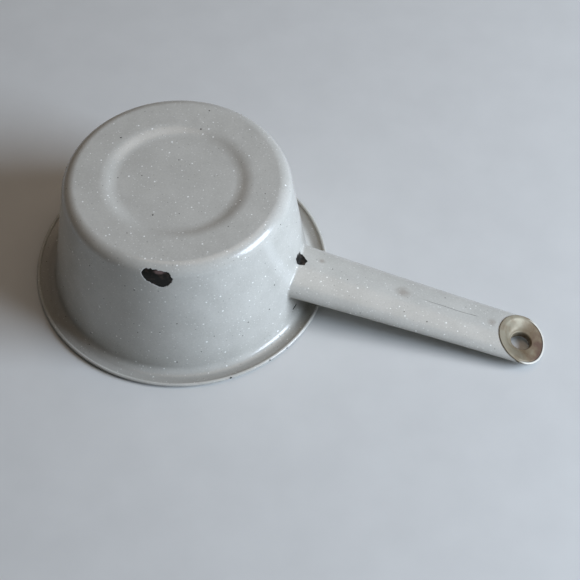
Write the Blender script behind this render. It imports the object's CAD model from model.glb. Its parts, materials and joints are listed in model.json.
import json
import math

import bpy
from mathutils import Matrix, Vector, noise


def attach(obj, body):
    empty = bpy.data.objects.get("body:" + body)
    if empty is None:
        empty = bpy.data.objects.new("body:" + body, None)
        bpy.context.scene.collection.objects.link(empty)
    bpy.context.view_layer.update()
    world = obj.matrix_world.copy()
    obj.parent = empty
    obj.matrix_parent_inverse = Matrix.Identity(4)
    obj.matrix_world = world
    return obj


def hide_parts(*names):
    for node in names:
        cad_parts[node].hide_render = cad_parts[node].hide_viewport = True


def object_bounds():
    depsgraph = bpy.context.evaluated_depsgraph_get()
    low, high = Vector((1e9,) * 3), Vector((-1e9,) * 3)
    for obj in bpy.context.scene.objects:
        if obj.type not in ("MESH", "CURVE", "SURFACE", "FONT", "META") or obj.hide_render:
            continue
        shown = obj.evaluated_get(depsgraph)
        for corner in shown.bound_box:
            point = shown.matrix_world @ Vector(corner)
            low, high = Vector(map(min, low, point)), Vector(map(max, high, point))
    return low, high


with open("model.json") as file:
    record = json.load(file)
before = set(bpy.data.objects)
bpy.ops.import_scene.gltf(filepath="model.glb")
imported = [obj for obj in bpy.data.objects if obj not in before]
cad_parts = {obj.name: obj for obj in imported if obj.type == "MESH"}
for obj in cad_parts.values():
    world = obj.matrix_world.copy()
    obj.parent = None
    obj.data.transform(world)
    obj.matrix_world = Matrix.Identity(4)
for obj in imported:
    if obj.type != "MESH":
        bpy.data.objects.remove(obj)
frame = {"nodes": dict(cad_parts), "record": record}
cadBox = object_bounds()
mm = 0.001
print("frame loaded:", ", ".join(sorted(frame["nodes"])))


def linear(hexText):
    # sRGB hex to the linear colour that shaders use
    parts = [int(hexText[i:i + 2], 16) / 255 for i in (0, 2, 4)]
    return (*[c / 12.92 if c <= 0.04045 else ((c + 0.055) / 1.055) ** 2.4 for c in parts], 1)


def addNode(tree, kind, values=None, links=None, stops=(), **options):
    # a node with its options, its unlinked values, what feeds it, and a ramp's colours
    node = tree.nodes.new("ShaderNode" + kind)
    for name, value in options.items():
        setattr(node, name, value)
    for name, value in (values or {}).items():
        node.inputs[name].default_value = value
    for name, source in (links or {}).items():
        tree.links.new(source, node.inputs[name])
    for i, (place, colour) in enumerate(stops):
        element = node.color_ramp.elements[i] if i < 2 else node.color_ramp.elements.new(place)
        element.position = place
        element.color = linear(colour)
    return node


def newMaterial(name):
    material = bpy.data.materials.new(name)
    material.use_nodes = True
    material.node_tree.nodes.clear()
    return material, material.node_tree


def finishMaterial(material, colour, roughness, metallic, height, ior=1.5):
    # one glossy surface, with relief heights in millimetres
    tree = material.node_tree
    relief = addNode(tree, "Bump", {"Strength": 1.0, "Distance": mm}, {"Height": height})
    surface = addNode(
        tree, "BsdfPrincipled", {"IOR": ior},
        {"Base Color": colour, "Roughness": roughness, "Metallic": metallic, "Normal": relief.outputs[0]},
    )
    addNode(tree, "OutputMaterial", links={"Surface": surface.outputs[0]})
    return material


camera = {
    "target": (61.8, 6.3, -6.4),    # mm
    "azimuth": -74.85,
    "elevation": 53.3,
    "distance": 855.2,
    "roll": -1.27,
    "lens": 93.1,
    "clipStart": 50.0,
}


def direction(azimuth, elevation):
    a, e = math.radians(azimuth), math.radians(elevation)
    return Vector((math.cos(a) * math.cos(e), math.sin(a) * math.cos(e), math.sin(e)))


def aimed(obj, target, azimuth, elevation, distance, roll=0):
    # stands obj at a distance from target (mm) and turns its -Z towards it
    back = direction(azimuth, elevation)
    right = Vector((0, 0, 1)).cross(back).normalized()
    turned = Matrix((right, back.cross(right), back)).transposed()
    turned = turned @ Matrix.Rotation(math.radians(-roll), 3, "Z")
    obj.matrix_world = Matrix.Translation((Vector(target) + back * distance) * mm) @ turned.to_4x4()


cameraData = bpy.data.cameras.new("camera")
cameraData.lens = camera["lens"]
cameraData.clip_start = camera["clipStart"] * mm
cameraObject = bpy.data.objects.new("camera", cameraData)
bpy.context.collection.objects.link(cameraObject)
aimed(cameraObject, camera["target"], camera["azimuth"], camera["elevation"],
      camera["distance"], camera["roll"])
bpy.context.scene.camera = cameraObject
bpy.context.scene.view_settings.view_transform = "Standard"

floorMesh = bpy.data.meshes.new("floor")
half = 2000 * mm     # of the floor's side
floorMesh.from_pydata(
    [(-half, -half, 0), (half, -half, 0), (half, half, 0), (-half, half, 0)], [], [(0, 1, 2, 3)]
)
floor = bpy.data.objects.new("floor", floorMesh)
bpy.context.collection.objects.link(floor)
floor.location.z = cadBox[0].z
# matt painted board: pale and even, with no reflections
board, tree = newMaterial("matt_painted_board")
grain = addNode(tree, "TexNoise", {"Scale": 40.0, "Detail": 3.0},
                {"Vector": addNode(tree, "TexCoord").outputs["Object"]})
tone = addNode(tree, "ValToRGB", links={0: grain.outputs[0]}, stops=[(0.3, "D2D2D0"), (0.7, "D6D6D4")])
surface = addNode(tree, "BsdfPrincipled", {"Roughness": 0.9}, {"Base Color": tone.outputs[0]})
addNode(tree, "OutputMaterial", links={"Surface": surface.outputs[0]})
floorMesh.materials.append(board)

# name: azimuth, elevation, distance mm, width mm, height mm, watts, colour
lights = {
    "window": (0, 29, 1500, 800, 800, 33.0, "DEEDFF"),
    "overhead": (60, 80, 1300, 900, 900, 3.2, "FFE8D0"),
}
for name, (azimuth, elevation, distance, width, height, watts, colour) in lights.items():
    data = bpy.data.lights.new(name, "AREA")
    data.shape = "RECTANGLE"
    data.size = width * mm
    data.size_y = height * mm
    data.energy = watts
    data.color = linear(colour)[:3]
    light = bpy.data.objects.new(name, data)
    bpy.context.collection.objects.link(light)
    aimed(light, camera["target"], azimuth, elevation, distance)

world = bpy.data.worlds.new("studio")
bpy.context.scene.world = world
world.use_nodes = True
background = world.node_tree.nodes["Background"]
background.inputs["Color"].default_value = linear("D8D9DA")
background.inputs["Strength"].default_value = 0.06
print("camera, floor and lights ready")

# pan: one pressed sheet, mouth down, with a rolled bead round its rim. Millimetres.
pan = {
    "rimDiameter": 165.0,
    "height": 76.2,
    "baseDiameter": 121.2,
    "mouthDiameter": 144.8,
    "sheet": 0.7,
    "baseCorner": 7.5,
    "flangeTurn": 4.6,
    "flangeLift": 14.0,      # degrees that the flange rises outward
    "beadDiameter": 1.8,
    "beadGap": 0.2,
    "slitWidth": 0.35,       # dirt beside the curled edge
    "flangeGrime": 0.35,     # how strongly the film in the flange's valley shows
    "grimeRun": 4.0,         # over which the film fades in
    "grimeHeight": 10.0,
    "recessDiameter": 72.5,
    "recessDepth": 1.7,
    "recessSlope": 6.0,
    "recessRadius": 18.0,
    "segments": 360,
    "arcStep": 0.3,
    "runStep": 4.0,
    "chipStep": 0.2,
    "chipDepth": 0.3,
    "chipLip": 0.04,         # lifted enamel round the chip
    "chipWave": 0.05,        # unevenness of the chip's floor
    "chipFade": 4.0,         # over which the chip's share runs from one to nothing
    "chipMargin": 1.5,
    "chipSector": (-91.5, -71.0),    # degrees round the axis that are meshed finely
    "chipFrom": (53.0, 60.0),        # radius and height past which the chip can be
    # the chip's ragged edge: height, waves per mm, seed
    "chipRagged": [(0.35, 0.7, 3.7), (0.22, 2.1, 1.3)],
    # the big chip's outline on the wall: along X, and height
    "chip": [(0.9, 71.6), (1.7, 73.5), (4.1, 74.3), (6.2, 74.2), (8.4, 74.3), (13.2, 73.8), (15.2, 73.4),
             (16.5, 71.8), (17.9, 69.8), (17.0, 67.0), (15.6, 64.9), (13.2, 63.7), (11.0, 63.5),
             (9.1, 64.3), (6.4, 65.7), (4.1, 67.0), (2.2, 69.2)],
}
wallSlope = (pan["mouthDiameter"] - pan["baseDiameter"]) / 2 / pan["height"]


def beside(points, distance):
    # corners of the line that runs at this distance to the left of a line of points
    runs = [(b - a).normalized() for a, b in zip(points, points[1:])]
    sides = [Vector((-run.y, run.x)) for run in runs]
    corners = []
    for i, point in enumerate(points):
        before, after = sides[max(i - 1, 0)], sides[min(i, len(sides) - 1)]
        corners.append(point + (before + after) * (distance / (1 + before.dot(after))))
    return corners


def arc(centre, radius, start, end):
    # points on an arc, angles in radians
    steps = max(3, round(abs(end - start) * radius / pan["arcStep"]))
    return [centre + radius * Vector((math.cos(start + (end - start) * i / steps),
                                      math.sin(start + (end - start) * i / steps)))
            for i in range(steps + 1)]


def rounded(points, radii):
    # the line with its inner corners turned into arcs
    line = [points[0]]
    for a, b, c, radius in zip(points, points[1:], points[2:], radii):
        before, after = (b - a).normalized(), (c - b).normalized()
        turn = math.atan2(before.x * after.y - before.y * after.x, before.dot(after))
        side = Vector((-before.y, before.x)) * math.copysign(1, turn)
        start = b - before * radius * math.tan(abs(turn) / 2)
        centre = start + side * radius
        angle = math.atan2(-side.y, -side.x)
        line += arc(centre, radius, angle, angle + turn)
    return line + [points[-1]]


def divided(points):
    # long runs cut up, and finer where the chip is
    low = min(z for x, z in pan["chip"]) - pan["chipMargin"]
    line = [points[0]]
    for a, b in zip(points, points[1:]):
        fine = max(a.y, b.y) > low and min(a.x, b.x) > pan["chipFrom"][0]
        steps = max(1, math.ceil((b - a).length / (pan["chipStep"] if fine else pan["runStep"])))
        line += [a.lerp(b, (i + 1) / steps) for i in range(steps)]
    return line


def panOutline():
    sheet, bead = pan["sheet"], pan["beadDiameter"] / 2
    top = pan["height"] - sheet / 2
    inset = sheet / 2 * math.hypot(1, wallSlope)
    lift = math.radians(pan["flangeLift"])
    out, up = Vector((math.cos(lift), math.sin(lift))), Vector((-math.sin(lift), math.cos(lift)))
    # the turn between wall and flange touches the floor at its lowest
    turnRadius = pan["flangeTurn"] + sheet / 2
    turnZ = sheet / 2 + turnRadius
    wallX = pan["mouthDiameter"] / 2 - wallSlope * turnZ - inset
    turnEnd = Vector((wallX + turnRadius * math.hypot(1, wallSlope), turnZ)) - up * turnRadius
    wallX = pan["mouthDiameter"] / 2 - wallSlope * turnEnd.y - inset
    flange = turnEnd - out * ((turnEnd.x - wallX) / (out.x + wallSlope * out.y))
    curlX = pan["rimDiameter"] / 2 - bead - up.x * (bead - sheet / 2)
    curlStart = turnEnd + out * ((curlX - turnEnd.x) / out.x)
    curl = curlStart + up * (bead - sheet / 2)
    corners = [
        Vector((0, top - pan["recessDepth"])),
        Vector(((pan["recessDiameter"] - pan["recessSlope"]) / 2, top - pan["recessDepth"])),
        Vector(((pan["recessDiameter"] + pan["recessSlope"]) / 2, top)),
        Vector((pan["mouthDiameter"] / 2 - wallSlope * top - inset, top)),
        flange,
        curlStart,
    ]
    recess, corner, turn = pan["recessRadius"], pan["baseCorner"], pan["flangeTurn"]
    outside = rounded(beside(corners, sheet / 2), [recess, recess + sheet, corner, turn])
    inside = rounded(beside(corners, -sheet / 2), [recess + sheet, recess, corner - sheet, turn + sheet])
    start = lift - math.pi / 2
    end = math.pi + lift + math.asin((bead - sheet - pan["beadGap"]) / bead)
    flange = divided(outside[:-1] + [outside[-1] - out * pan["slitWidth"], outside[-1]])
    outside = flange + arc(curl, bead - sheet, start, end)[1:]
    inside = arc(curl, bead, end, start) + divided(inside[-2::-1])
    return outside, inside, len(flange) - 1


def chipDistance(x, z):
    # distance outside the chip's ragged edge, negative inside it
    corners = [Vector(p) for p in pan["chip"]]
    here, inside, nearest = Vector((x, z)), False, 1e9
    for a, b in zip(corners, corners[1:] + corners[:1]):
        along = b - a
        share = min(max((here - a).dot(along) / along.length_squared, 0), 1)
        nearest = min(nearest, (here - a - along * share).length)
        if (a.y > z) != (b.y > z) and x < a.x + (z - a.y) / (b.y - a.y) * along.x:
            inside = not inside
    ragged = sum(tall * noise.noise(Vector((x, z, seed)) * waves) for tall, waves, seed in pan["chipRagged"])
    return (-nearest if inside else nearest) + ragged


def smooth(value, low, high):
    share = min(max((value - low) / (high - low), 0), 1)
    return share * share * (3 - 2 * share)


def makePan():
    outside, inside, flangeEnd = panOutline()
    outline = outside + inside
    # the turn round the axis, finer across the chip
    low, high = [math.radians(angle) for angle in pan["chipSector"]]
    fine = math.ceil((high - low) * pan["baseDiameter"] / 2 / pan["chipStep"])
    coarse = math.ceil(pan["segments"] * (1 - (high - low) / math.tau))
    angles = [low + (high - low) * i / fine for i in range(fine)]
    angles += [high + (math.tau - high + low) * i / coarse for i in range(coarse)]
    verts, faces, chipShares, grimes, rings = [], [], [], [], []
    flangeStart = pan["mouthDiameter"] / 2
    for i, point in enumerate(outline):
        # dirt lies in the flange's valley and packs the slit beside the bead
        grime = 0.0
        if point.y < pan["grimeHeight"] and i < flangeEnd:
            grime = pan["flangeGrime"] * smooth(point.x, flangeStart, flangeStart + pan["grimeRun"])
        elif flangeEnd <= i < len(outside) - 1:
            grime = 1.0
        if point.x < 1e-6:
            rings.append([len(verts)] * len(angles))
            verts.append((0, 0, point.y * mm))
            chipShares.append(0.0)
            grimes.append(0.0)
            continue
        rings.append(list(range(len(verts), len(verts) + len(angles))))
        along = (outline[min(i + 1, len(outline) - 1)] - outline[i - 1]).normalized()
        normal = Vector((-along.y, along.x))
        chipped = i < len(outside) and point.x > pan["chipFrom"][0] and point.y > pan["chipFrom"][1]
        for angle in angles:
            depth, share = 0.0, 0.0
            if low < angle < high and chipped:
                x = point.x * math.cos(angle)
                away = chipDistance(x, point.y)
                share = min(max(0.5 - away / pan["chipFade"], 0), 1)
                wave = pan["chipWave"] * noise.noise(Vector((x, point.y, 9)) * 0.9)
                depth = (pan["chipDepth"] + wave) * smooth(-away, 0.0, 0.4)
                depth -= pan["chipLip"] * smooth(away, -0.1, 0.1) * smooth(-away, -0.8, -0.1)
            r = point.x - normal.x * depth
            verts.append((r * math.cos(angle) * mm, r * math.sin(angle) * mm,
                          (point.y - normal.y * depth) * mm))
            chipShares.append(share)
            grimes.append(grime)
    for a, b in zip(rings, rings[1:]):
        for j in range(len(angles)):
            k = (j + 1) % len(angles)
            corners = list(dict.fromkeys((a[j], b[j], b[k], a[k])))
            if len(corners) > 2:
                faces.append(corners)
    mesh = bpy.data.meshes.new("panShell")
    mesh.from_pydata(verts, [], faces)
    mesh.shade_smooth()
    mesh.attributes.new("chipShare", "FLOAT", "POINT").data.foreach_set("value", chipShares)
    mesh.attributes.new("grime", "FLOAT", "POINT").data.foreach_set("value", grimes)
    mesh.validate()
    return mesh


panShell = bpy.data.objects.new("panShell", makePan())
bpy.context.collection.objects.link(panShell)
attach(panShell, "root")
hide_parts("pan_body")
print("pan shell:", len(panShell.data.polygons), "faces")

# handle: an oval tube cut off at a slant, with a pressed plate in the cut. Its directions come from
# the hanging hole, which goes straight through it.
holeMount = next(m for m in frame["record"]["mounts"] if m["name"] == "hanging_hole")
up = Vector(holeMount["axis"]).normalized()
along = Vector((up.z, 0, -up.x))
handle = {
    "length": 128.0,
    "sections": [(0.0, 35.6, 15.2), (64.0, 31.9, 12.2), (128.0, 29.9, 10.0)],   # place, width, thickness
    "wall": 0.8,
    "cutAngle": 19.0,
    "holeShift": -1.3,       # hole's axis from the middle of the cut, along the handle
    # from the hole's mount up to the handle's axis. The record's mount is 3.72 below the axis, so
    # the end plate and what is placed from it sit 0.58 too high: a known fault.
    "mountBelow": 4.3,
}
scratch = {"across": 2.2, "width": 0.17, "from": 68.0, "to": 101.0}     # mm
cut = math.radians(handle["cutAngle"])
cutMiddle = Vector(holeMount["pos_m"]) / mm + up * handle["mountBelow"] - along * handle["holeShift"]
downCut = along * math.cos(cut) - up * math.sin(cut)
overCut = along * math.sin(cut) + up * math.cos(cut)


def handlePlace(tree, place):
    # millimetres along the handle from its root, across it, above its axis, and above its cut end
    away = addNode(tree, "VectorMath", {1: cutMiddle * mm}, {0: place}, operation="SUBTRACT")
    parts = {}
    for name, way, start in (("along", along, handle["length"]), ("across", Vector((0, 1, 0)), 0),
                             ("up", up, 0), ("overEnd", overCut, 0), ("down", downCut, 0)):
        part = addNode(tree, "VectorMath", {1: way / mm}, {0: away.outputs[0]}, operation="DOT_PRODUCT")
        part = addNode(tree, "Math", {1: start}, {0: part.outputs["Value"]}, operation="ADD")
        parts[name] = part.outputs[0]
    return parts


enamel = {
    "light": "C8C6BF",
    "dark": "BBB9B2",
    "mottle": 0.9,           # mm across
    "cloud": 14.0,
    # flecks of white and dark frit: spacing, radius (mm), colour, how strongly they show
    "flecks": [
        (4.3, 0.56, "FFFFFB", 0.9),
        (2.1, 0.42, "E9E8E3", 0.6),
        (6.4, 0.5, "2A2622", 0.95),
        (3.2, 0.34, "77746E", 0.6),
    ],
    "chipRim": "D9D9D6",
    "steel": "14120D",
    "rust": "4A3C34",
    "primer": "8E7672",      # pinkish ground coat left in the big chip
    "stain": "8A7A6C",
    "film": "4A4038",
    "dirt": "2E241C",
    "scratch": "3C3833",
    "roughness": 0.2,
    "ripple": 4.0,           # mm from crest to crest of the orange peel
    "rippleHeight": 0.0025,
}
chips = {
    # corners of the bare patch on top of the handle's root, seen from above, anticlockwise
    "root": [(67.0, -2.1), (71.5, -0.7), (72.5, 2.6), (68.4, 6.6), (67.0, 5.4)],
    "rootHeight": 26.0,
    # ground coat left inside the big chip, as one of the spots below
    "primer": ((10.4, -58.9, 73.0), (3.0, 3.0, 1.1), 0.5, 0.6),
}
# soft or bare spots: centre, radii (mm), raggedness, softness, what shows
spots = [
    ((70.4, -13.6, 6.7), (1.2, 2.7, 0.8), 0.35, 0.15, "bare"),
    ((49.5, -66.0, 2.0), (0.8, 0.8, 1.2), 0.4, 0.3, "bare"),
    ((66.4, -48.9, 2.0), (0.5, 0.6, 1.2), 0.4, 0.3, "bare"),
    ((73.0, -38.5, 2.0), (0.5, 0.6, 1.2), 0.4, 0.3, "bare"),
    ((126.9, 2.9, 21.3), (4.2, 3.4, 3.0), 0.5, 0.9, "stain"),
    ((79.7, 6.3, 27.0), (2.0, 1.8, 2.0), 0.5, 0.8, "stain"),
    ((177.5, 1.5, 14.9), (2.2, 2.6, 2.0), 0.5, 0.9, "stain"),
]


def spotShare(tree, place, wander, centre, radii, ragged, softness):
    # 1 in the middle of an oval spot and 0 outside it, with an uneven edge
    away = addNode(tree, "VectorMath", {1: tuple(c * mm for c in centre)}, {0: place}, operation="SUBTRACT")
    scaled = addNode(tree, "VectorMath", {1: tuple(1 / (r * mm) for r in radii)},
                     {0: away.outputs[0]}, operation="MULTIPLY")
    length = addNode(tree, "VectorMath", links={0: scaled.outputs[0]}, operation="LENGTH")
    uneven = addNode(tree, "Math", {1: ragged * 2}, {0: wander, 2: length.outputs["Value"]},
                     operation="MULTIPLY_ADD")
    edge = 1 + ragged
    share = addNode(tree, "MapRange", {1: edge + softness / 2, 2: edge - softness, 3: 0.0, 4: 1.0},
                    {0: uneven.outputs[0]}, interpolation_type="SMOOTHSTEP")
    return share.outputs[0]


def makeEnamel():
    # vitreous enamel on steel, dipped and fired: a hard glassy grey skin full of light and dark flecks
    material, tree = newMaterial("vitreous_enamel_on_steel")
    place = addNode(tree, "TexCoord").outputs["Object"]
    mottle = addNode(tree, "TexNoise", {"Scale": 1 / (enamel["mottle"] * mm), "Detail": 4.0},
                     {"Vector": place})
    cloud = addNode(tree, "TexNoise", {"Scale": 1 / (enamel["cloud"] * mm), "Detail": 2.0},
                    {"Vector": place})
    blend = addNode(tree, "Math", {1: 0.5}, {0: mottle.outputs[0]}, operation="MULTIPLY")
    blend = addNode(tree, "Math", {1: 0.5}, {0: cloud.outputs[0], 2: blend.outputs[0]},
                    operation="MULTIPLY_ADD")
    colour = addNode(tree, "ValToRGB", links={0: blend.outputs[0]},
                     stops=[(0.36, enamel["dark"]), (0.64, enamel["light"])]).outputs[0]
    for i, (spacing, radius, fleck, strength) in enumerate(enamel["flecks"]):
        # each layer is moved, so that no two have their flecks in the same places
        shifted = addNode(tree, "VectorMath", {1: (0.013 * i, 0.029 * i, 0.017 * i)}, {0: place},
                          operation="ADD")
        cells = addNode(tree, "TexVoronoi", {"Scale": 1 / (spacing * mm)}, {"Vector": shifted.outputs[0]})
        size = radius / spacing
        # no two flecks are the same size
        vary = addNode(tree, "Math", {1: size * 0.6},
                       {0: cells.outputs["Color"], 2: cells.outputs["Distance"]}, operation="MULTIPLY_ADD")
        share = addNode(tree, "MapRange", {1: size * 1.2, 2: size * 0.75, 3: 0.0, 4: strength},
                        {0: vary.outputs[0]})
        colour = addNode(tree, "Mix", {7: linear(fleck)}, {0: share.outputs[0], 6: colour},
                         data_type="RGBA").outputs[2]
    wander = addNode(tree, "TexNoise", {"Scale": 1 / (2.2 * mm), "Detail": 3.0}, {"Vector": place}).outputs[0]

    # bare steel: the big chip's share is kept on the mesh, the one at the root lies between straight cracks
    chip = addNode(tree, "Attribute", attribute_name="chipShare").outputs["Fac"]
    bare = addNode(tree, "MapRange", {1: 0.52, 2: 0.57, 3: 0.0, 4: 1.0}, {0: chip}).outputs[0]
    rim = addNode(tree, "MapRange", {1: 0.42, 2: 0.48, 3: 0.0, 4: 0.45}, {0: chip}).outputs[0]
    worst = None
    corners = [Vector(p) for p in chips["root"]]
    for a, b in zip(corners, corners[1:] + corners[:1]):
        side = Vector((b.y - a.y, a.x - b.x)).normalized()
        over = addNode(tree, "VectorMath", {1: (side.x / mm, side.y / mm, 0)}, {0: place},
                       operation="DOT_PRODUCT")
        over = addNode(tree, "Math", {1: side.dot(a)}, {0: over.outputs["Value"]}, operation="SUBTRACT")
        if worst is not None:
            over = addNode(tree, "Math", links={0: worst.outputs[0], 1: over.outputs[0]}, operation="MAXIMUM")
        worst = over
    uneven = addNode(tree, "Math", {1: 0.9}, {0: wander, 2: worst.outputs[0]}, operation="MULTIPLY_ADD")
    root = addNode(tree, "MapRange", {1: 0.45, 2: 0.3, 3: 0.0, 4: 1.0}, {0: uneven.outputs[0]}).outputs[0]
    height = addNode(tree, "SeparateXYZ", links={0: place}).outputs["Z"]
    above = addNode(tree, "Math", {1: chips["rootHeight"] * mm}, {0: height}, operation="GREATER_THAN")
    root = addNode(tree, "Math", links={0: root, 1: above.outputs[0]}, operation="MULTIPLY").outputs[0]
    bare = addNode(tree, "Math", links={0: bare, 1: root}, operation="MAXIMUM").outputs[0]
    stain = None
    for centre, radii, ragged, softness, shows in spots:
        share = spotShare(tree, place, wander, centre, radii, ragged, softness)
        if shows == "bare":
            bare = addNode(tree, "Math", links={0: bare, 1: share}, operation="MAXIMUM").outputs[0]
        elif stain is None:
            stain = share
        else:
            stain = addNode(tree, "Math", links={0: stain, 1: share}, operation="MAXIMUM").outputs[0]
    stain = addNode(tree, "Math", {1: 0.45}, {0: stain}, operation="MULTIPLY").outputs[0]
    colour = addNode(tree, "Mix", {7: linear(enamel["stain"])}, {0: stain, 6: colour},
                     data_type="RGBA").outputs[2]
    colour = addNode(tree, "Mix", {7: linear(enamel["chipRim"])}, {0: rim, 6: colour},
                     data_type="RGBA").outputs[2]
    # brown film where dirt has settled
    film = addNode(tree, "Attribute", attribute_name="grime").outputs["Fac"]
    patchy = addNode(tree, "MapRange", {1: 0.3, 2: 0.7, 3: 0.75, 4: 1.1}, {0: cloud.outputs[0]}).outputs[0]
    film = addNode(tree, "Math", links={0: film, 1: patchy}, operation="MULTIPLY", use_clamp=True).outputs[0]
    colour = addNode(tree, "Mix", {7: linear(enamel["film"])}, {0: film, 6: colour},
                     data_type="RGBA").outputs[2]
    rustNoise = addNode(tree, "TexNoise", {"Scale": 1 / (2.6 * mm), "Detail": 5.0}, {"Vector": place})
    steel = addNode(tree, "ValToRGB", links={0: rustNoise.outputs[0]},
                    stops=[(0.5, enamel["steel"]), (0.78, enamel["rust"])]).outputs[0]
    pink = spotShare(tree, place, wander, *chips["primer"])
    pink = addNode(tree, "Math", {1: 0.7}, {0: pink}, operation="MULTIPLY").outputs[0]
    steel = addNode(tree, "Mix", {7: linear(enamel["primer"])}, {0: pink, 6: steel},
                    data_type="RGBA").outputs[2]
    colour = addNode(tree, "Mix", links={0: bare, 6: colour, 7: steel}, data_type="RGBA").outputs[2]

    # dirt darkens the tube's cut edge, and a long scratch runs towards it along the top
    parts = handlePlace(tree, place)
    edge = addNode(tree, "MapRange", {1: -0.3, 2: -0.15, 3: 0.0, 4: 1.0}, {0: parts["overEnd"]}).outputs[0]
    far = addNode(tree, "Math", {1: handle["length"] - 40}, {0: parts["along"]}, operation="GREATER_THAN")
    edge = addNode(tree, "Math", links={0: edge, 1: far.outputs[0]}, operation="MULTIPLY").outputs[0]
    colour = addNode(tree, "Mix", {7: linear(enamel["dirt"])}, {0: edge, 6: colour},
                     data_type="RGBA").outputs[2]
    drift = addNode(tree, "TexNoise", {"Scale": 1 / (14 * mm), "Detail": 1.0}, {"Vector": place}).outputs[0]
    aside = addNode(tree, "Math", {1: 1.6}, {0: drift, 2: parts["across"]}, operation="MULTIPLY_ADD")
    aside = addNode(tree, "Math", {1: scratch["across"] + 0.8}, {0: aside.outputs[0]}, operation="SUBTRACT")
    aside = addNode(tree, "Math", links={0: aside.outputs[0]}, operation="ABSOLUTE")
    line = addNode(tree, "MapRange", {1: scratch["width"], 2: scratch["width"] / 2, 3: 0.0, 4: 0.75},
                   {0: aside.outputs[0]}).outputs[0]
    for low, high in ((scratch["from"], scratch["from"] + 6), (scratch["to"], scratch["to"] - 2)):
        reach = addNode(tree, "MapRange", {1: low, 2: high, 3: 0.0, 4: 1.0}, {0: parts["along"]}).outputs[0]
        line = addNode(tree, "Math", links={0: line, 1: reach}, operation="MULTIPLY").outputs[0]
    top = addNode(tree, "Math", {1: 0.0}, {0: parts["up"]}, operation="GREATER_THAN").outputs[0]
    line = addNode(tree, "Math", links={0: line, 1: top}, operation="MULTIPLY").outputs[0]
    colour = addNode(tree, "Mix", {7: linear(enamel["scratch"])}, {0: line, 6: colour},
                     data_type="RGBA").outputs[2]

    roughness = addNode(tree, "MapRange", {3: enamel["roughness"], 4: 0.6}, {0: bare}).outputs[0]
    metallic = addNode(tree, "Math", {1: 0.35}, {0: bare}, operation="MULTIPLY").outputs[0]
    peel = addNode(tree, "TexNoise", {"Scale": 1 / (enamel["ripple"] * mm), "Detail": 1.0}, {"Vector": place})
    peel = addNode(tree, "Math", {1: enamel["rippleHeight"] * 2}, {0: peel.outputs[0]}, operation="MULTIPLY")
    pits = addNode(tree, "Math", {1: 0.12}, {0: rustNoise.outputs[0]}, operation="MULTIPLY")
    pits = addNode(tree, "Math", links={0: pits.outputs[0], 1: bare}, operation="MULTIPLY")
    relief = addNode(tree, "Math", links={0: peel.outputs[0], 1: pits.outputs[0]}, operation="ADD")
    return finishMaterial(material, colour, roughness, metallic, relief.outputs[0], ior=1.52)


enamelSkin = makeEnamel()
panShell.data.materials.append(enamelSkin)
for name in ("handle_tube", "root_weld"):
    node = frame["nodes"][name]
    for slot in node.material_slots:
        slot.material = enamelSkin
print("enamel ready")


plate = {
    "thickness": 0.7,
    "proud": 0.1,            # over the tube's cut edge
    "inset": 0.12,
    "tipInset": 1.3,         # extra at the very end, where the tube's wall runs out to nothing
    "floorDrop": 1.3,        # dish floor below the handle's axis
    "floorBlend": 0.8,       # rounds the line where the floor comes up to the edge
    "floorShare": 0.44,
    "holeDiameter": 10.9,
    "holeLip": 0.9,          # radius of the rounded mouth
    "collarWall": 0.7,
    "collarBottom": -5.3,
    "lipWidth": 1.1,         # raised lip round the outer half of the plate
    "grooveDepth": 0.35,
    "grooveWidth": 0.6,
    "edgeRadius": 0.25,
    "turns": 180,
    # rings of the skin, by their distance from the edge
    "rings": [0.0, 0.03, 0.08, 0.16, 0.25, 0.4, 0.55, 0.7, 0.82, 0.94, 1.05, 1.15, 1.25, 1.35,
              1.45, 1.6, 1.8, 2.1],
}


def sizeAt(s, column):
    # parabola through the tube's three stated sections
    total = 0
    for i, here in enumerate(handle["sections"]):
        part = here[column]
        for j, other in enumerate(handle["sections"]):
            if i != j:
                part *= (s - other[0]) / (here[0] - other[0])
        total += part
    return total


def cutReach(angle, shrink):
    # from the middle of the cut to the tube's surface, measured in the cut
    low, high = 0.0, 30.0
    for _ in range(30):
        reach = (low + high) / 2
        s = handle["length"] + reach * math.cos(angle) * math.cos(cut)
        sideways = reach * math.sin(angle) / (sizeAt(s, 1) / 2 - shrink)
        upward = reach * math.cos(angle) * math.sin(cut) / (sizeAt(s, 2) / 2 - shrink)
        if math.hypot(sideways, upward) < 1:
            low = reach
        else:
            high = reach
    return low


def plateReach(angle):
    return cutReach(angle, plate["inset"]) - plate["tipInset"] * max(0.0, math.cos(angle)) ** 2


def plateDepth(u, v, angle):
    # depth of the plate's top under the cut: u runs down the cut, v across
    reach = plateReach(angle)
    edge = -plate["proud"]
    floor = (plate["floorDrop"] - u * math.sin(cut)) / math.cos(cut)
    floor = (floor + edge + math.hypot(floor - edge, plate["floorBlend"])) / 2
    # flat from where the tube's cut edge lies under it
    share = math.hypot(u, v) / (cutReach(angle, handle["wall"]) - 0.3)
    blend = smooth(share, plate["floorShare"], 1.0)
    depth = floor * (1 - blend) + edge * blend
    gap = reach - math.hypot(u, v)
    outer = smooth(math.cos(angle), -0.15, 0.35)
    groove = max(0.0, 1 - ((gap - plate["lipWidth"] * 1.2) / (plate["grooveWidth"] / 2)) ** 2)
    depth += plate["grooveDepth"] * groove * outer
    rounding = plate["edgeRadius"]
    if gap < rounding:
        depth += rounding - math.sqrt(max(0.0, rounding ** 2 - (rounding - gap) ** 2))
    return depth


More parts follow.
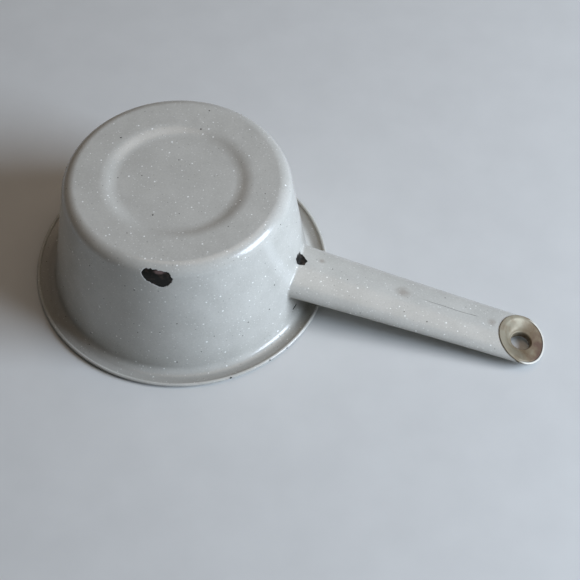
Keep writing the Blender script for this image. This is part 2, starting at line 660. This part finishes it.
def makeEndPlate():
    # closed skin of rings: outer edge, top, rounded mouth, collar, underside and back to the edge
    holeRadius, lip, wall = plate["holeDiameter"] / 2, plate["holeLip"], plate["collarWall"]
    turns = [math.tau * i / plate["turns"] for i in range(plate["turns"])]
    gaps = plate["rings"]
    shares = [i / 24 for i in range(1, 25)]
    rounds = [math.pi / 2 * i / 8 for i in range(1, 9)]
    columns, gapValues = [], []
    for turn in turns:
        outward = Vector((math.cos(turn), math.sin(turn)))
        reach = plateReach(turn)
        wallGap = max(0.3, reach - cutReach(turn, handle["wall"]) + 0.15)
        column, marks = [], []

        def put(u, v, depth):
            column.append(cutMiddle + downCut * u + Vector((0, v, 0)) - overCut * depth)
            marks.append(min(reach - math.hypot(u, v), 4.0))

        for gap in gaps:
            u, v = outward * (reach - gap)
            put(u, v, plateDepth(u, v, turn))
        # the dish, from inside the lip to the hole's rounded mouth
        start = outward * (reach - gaps[-1])
        mouthAlong = handle["holeShift"] + (holeRadius + lip) * math.cos(turn)
        mouth = Vector((mouthAlong * math.cos(cut) + plate["floorDrop"] * math.sin(cut),
                        (holeRadius + lip) * math.sin(turn)))
        for share in shares:
            u, v = start.lerp(mouth, share)
            put(u, v, plateDepth(u, v, math.atan2(v, u)))
        top = (column[-1] - cutMiddle).dot(up)
        axis = cutMiddle + along * handle["holeShift"]

        def putRound(radius, height):
            column.append(axis + along * radius * math.cos(turn) + Vector((0, radius * math.sin(turn), 0))
                          + up * height)
            marks.append(4.0)

        for a in rounds:
            putRound(holeRadius + lip * (1 - math.sin(a)), top - lip * (1 - math.cos(a)))
        putRound(holeRadius, plate["collarBottom"])
        putRound(holeRadius + wall, plate["collarBottom"])
        putRound(holeRadius + wall, min(top - plate["thickness"] - lip * 0.4, -2.4))
        for share in shares[::-3]:
            u, v = start.lerp(mouth, share)
            put(u, v, plateDepth(u, v, math.atan2(v, u)) + plate["thickness"])
        # the rim is thin over the tube's cut edge and full where it lies on it
        outer = smooth((outward * reach).x, -2.4, -1.8)
        rim = plate["proud"] * (1 - outer) + plate["thickness"] * outer
        edge = min(rim, plate["proud"] + plate["tipInset"] * math.tan(cut)) if outer > 0 else rim
        below = [(wallGap + 0.4, plate["thickness"]), (wallGap, rim), (1.2, rim), (0.0, edge)]
        for gap, depth in below:
            u, v = outward * (reach - gap)
            put(u, v, depth - 0.02)
        columns.append(column)
        gapValues.append(marks)
    count = len(columns[0])
    verts = [point * mm for column in columns for point in column]
    faces = []
    for i in range(len(columns)):
        k = (i + 1) % len(columns)
        for j in range(count):
            n = (j + 1) % count
            faces.append((i * count + j, k * count + j, k * count + n, i * count + n))
    mesh = bpy.data.meshes.new("endPlate")
    mesh.from_pydata(verts, [], faces)
    mesh.shade_smooth()
    marks = [value for column in gapValues for value in column]
    mesh.attributes.new("edgeGap", "FLOAT", "POINT").data.foreach_set("value", marks)
    return mesh


endPlate = bpy.data.objects.new("endPlate", makeEndPlate())
bpy.context.collection.objects.link(endPlate)
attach(endPlate, "root")
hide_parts("end_plate")


def makePlateSteel():
    # pressed sheet steel whose enamel has worn away: dull brown-grey, with a paler lip and a dirty groove
    material, tree = newMaterial("worn_sheet_steel")
    place = addNode(tree, "TexCoord").outputs["Object"]
    parts = handlePlace(tree, place)
    tarnish = addNode(tree, "TexNoise", {"Scale": 1 / (7 * mm), "Detail": 4.0, "Roughness": 0.55},
                      {"Vector": place})
    # browner towards the handle's very end
    outward = addNode(tree, "MapRange", {1: -4.0, 2: 13.0, 3: 0.2, 4: -0.22}, {0: parts["down"]}).outputs[0]
    blend = addNode(tree, "Math", links={0: tarnish.outputs[0], 1: outward}, operation="ADD").outputs[0]
    colour = addNode(tree, "ValToRGB", links={0: blend},
                     stops=[(0.3, "5C4536"), (0.5, "776751"), (0.75, "8C8370")]).outputs[0]
    gap = addNode(tree, "Attribute", attribute_name="edgeGap").outputs["Fac"]
    lip = addNode(tree, "MapRange", {1: 1.15, 2: 1.0, 3: 0.0, 4: 0.9}, {0: gap}).outputs[0]
    outer = addNode(tree, "MapRange", {1: 0.0, 2: 4.0, 3: 0.0, 4: 1.0}, {0: parts["down"]}).outputs[0]
    lip = addNode(tree, "Math", links={0: lip, 1: outer}, operation="MULTIPLY").outputs[0]
    colour = addNode(tree, "Mix", {7: linear("DAD6CC")}, {0: lip, 6: colour}, data_type="RGBA").outputs[2]
    inside = addNode(tree, "MapRange", {1: 1.15, 2: 1.25, 3: 0.0, 4: 1.0}, {0: gap}).outputs[0]
    beyond = addNode(tree, "MapRange", {1: 1.55, 2: 1.4, 3: 0.0, 4: 0.85}, {0: gap}).outputs[0]
    groove = addNode(tree, "Math", links={0: inside, 1: beyond}, operation="MULTIPLY").outputs[0]
    groove = addNode(tree, "Math", links={0: groove, 1: outer}, operation="MULTIPLY").outputs[0]
    colour = addNode(tree, "Mix", {7: linear(enamel["dirt"])}, {0: groove, 6: colour},
                     data_type="RGBA").outputs[2]
    roughness = addNode(tree, "MapRange", {3: 0.6, 4: 0.5}, {0: tarnish.outputs[0]}).outputs[0]
    metallic = addNode(tree, "MapRange", {3: 0.25, 4: 0.45}, {0: tarnish.outputs[0]}).outputs[0]
    fine = addNode(tree, "TexNoise", {"Scale": 1 / (0.8 * mm), "Detail": 3.0}, {"Vector": place})
    relief = addNode(tree, "Math", {1: 0.015}, {0: fine.outputs[0]}, operation="MULTIPLY")
    return finishMaterial(material, colour, roughness, metallic, relief.outputs[0])


endPlate.data.materials.append(makePlateSteel())
print("end plate ready")
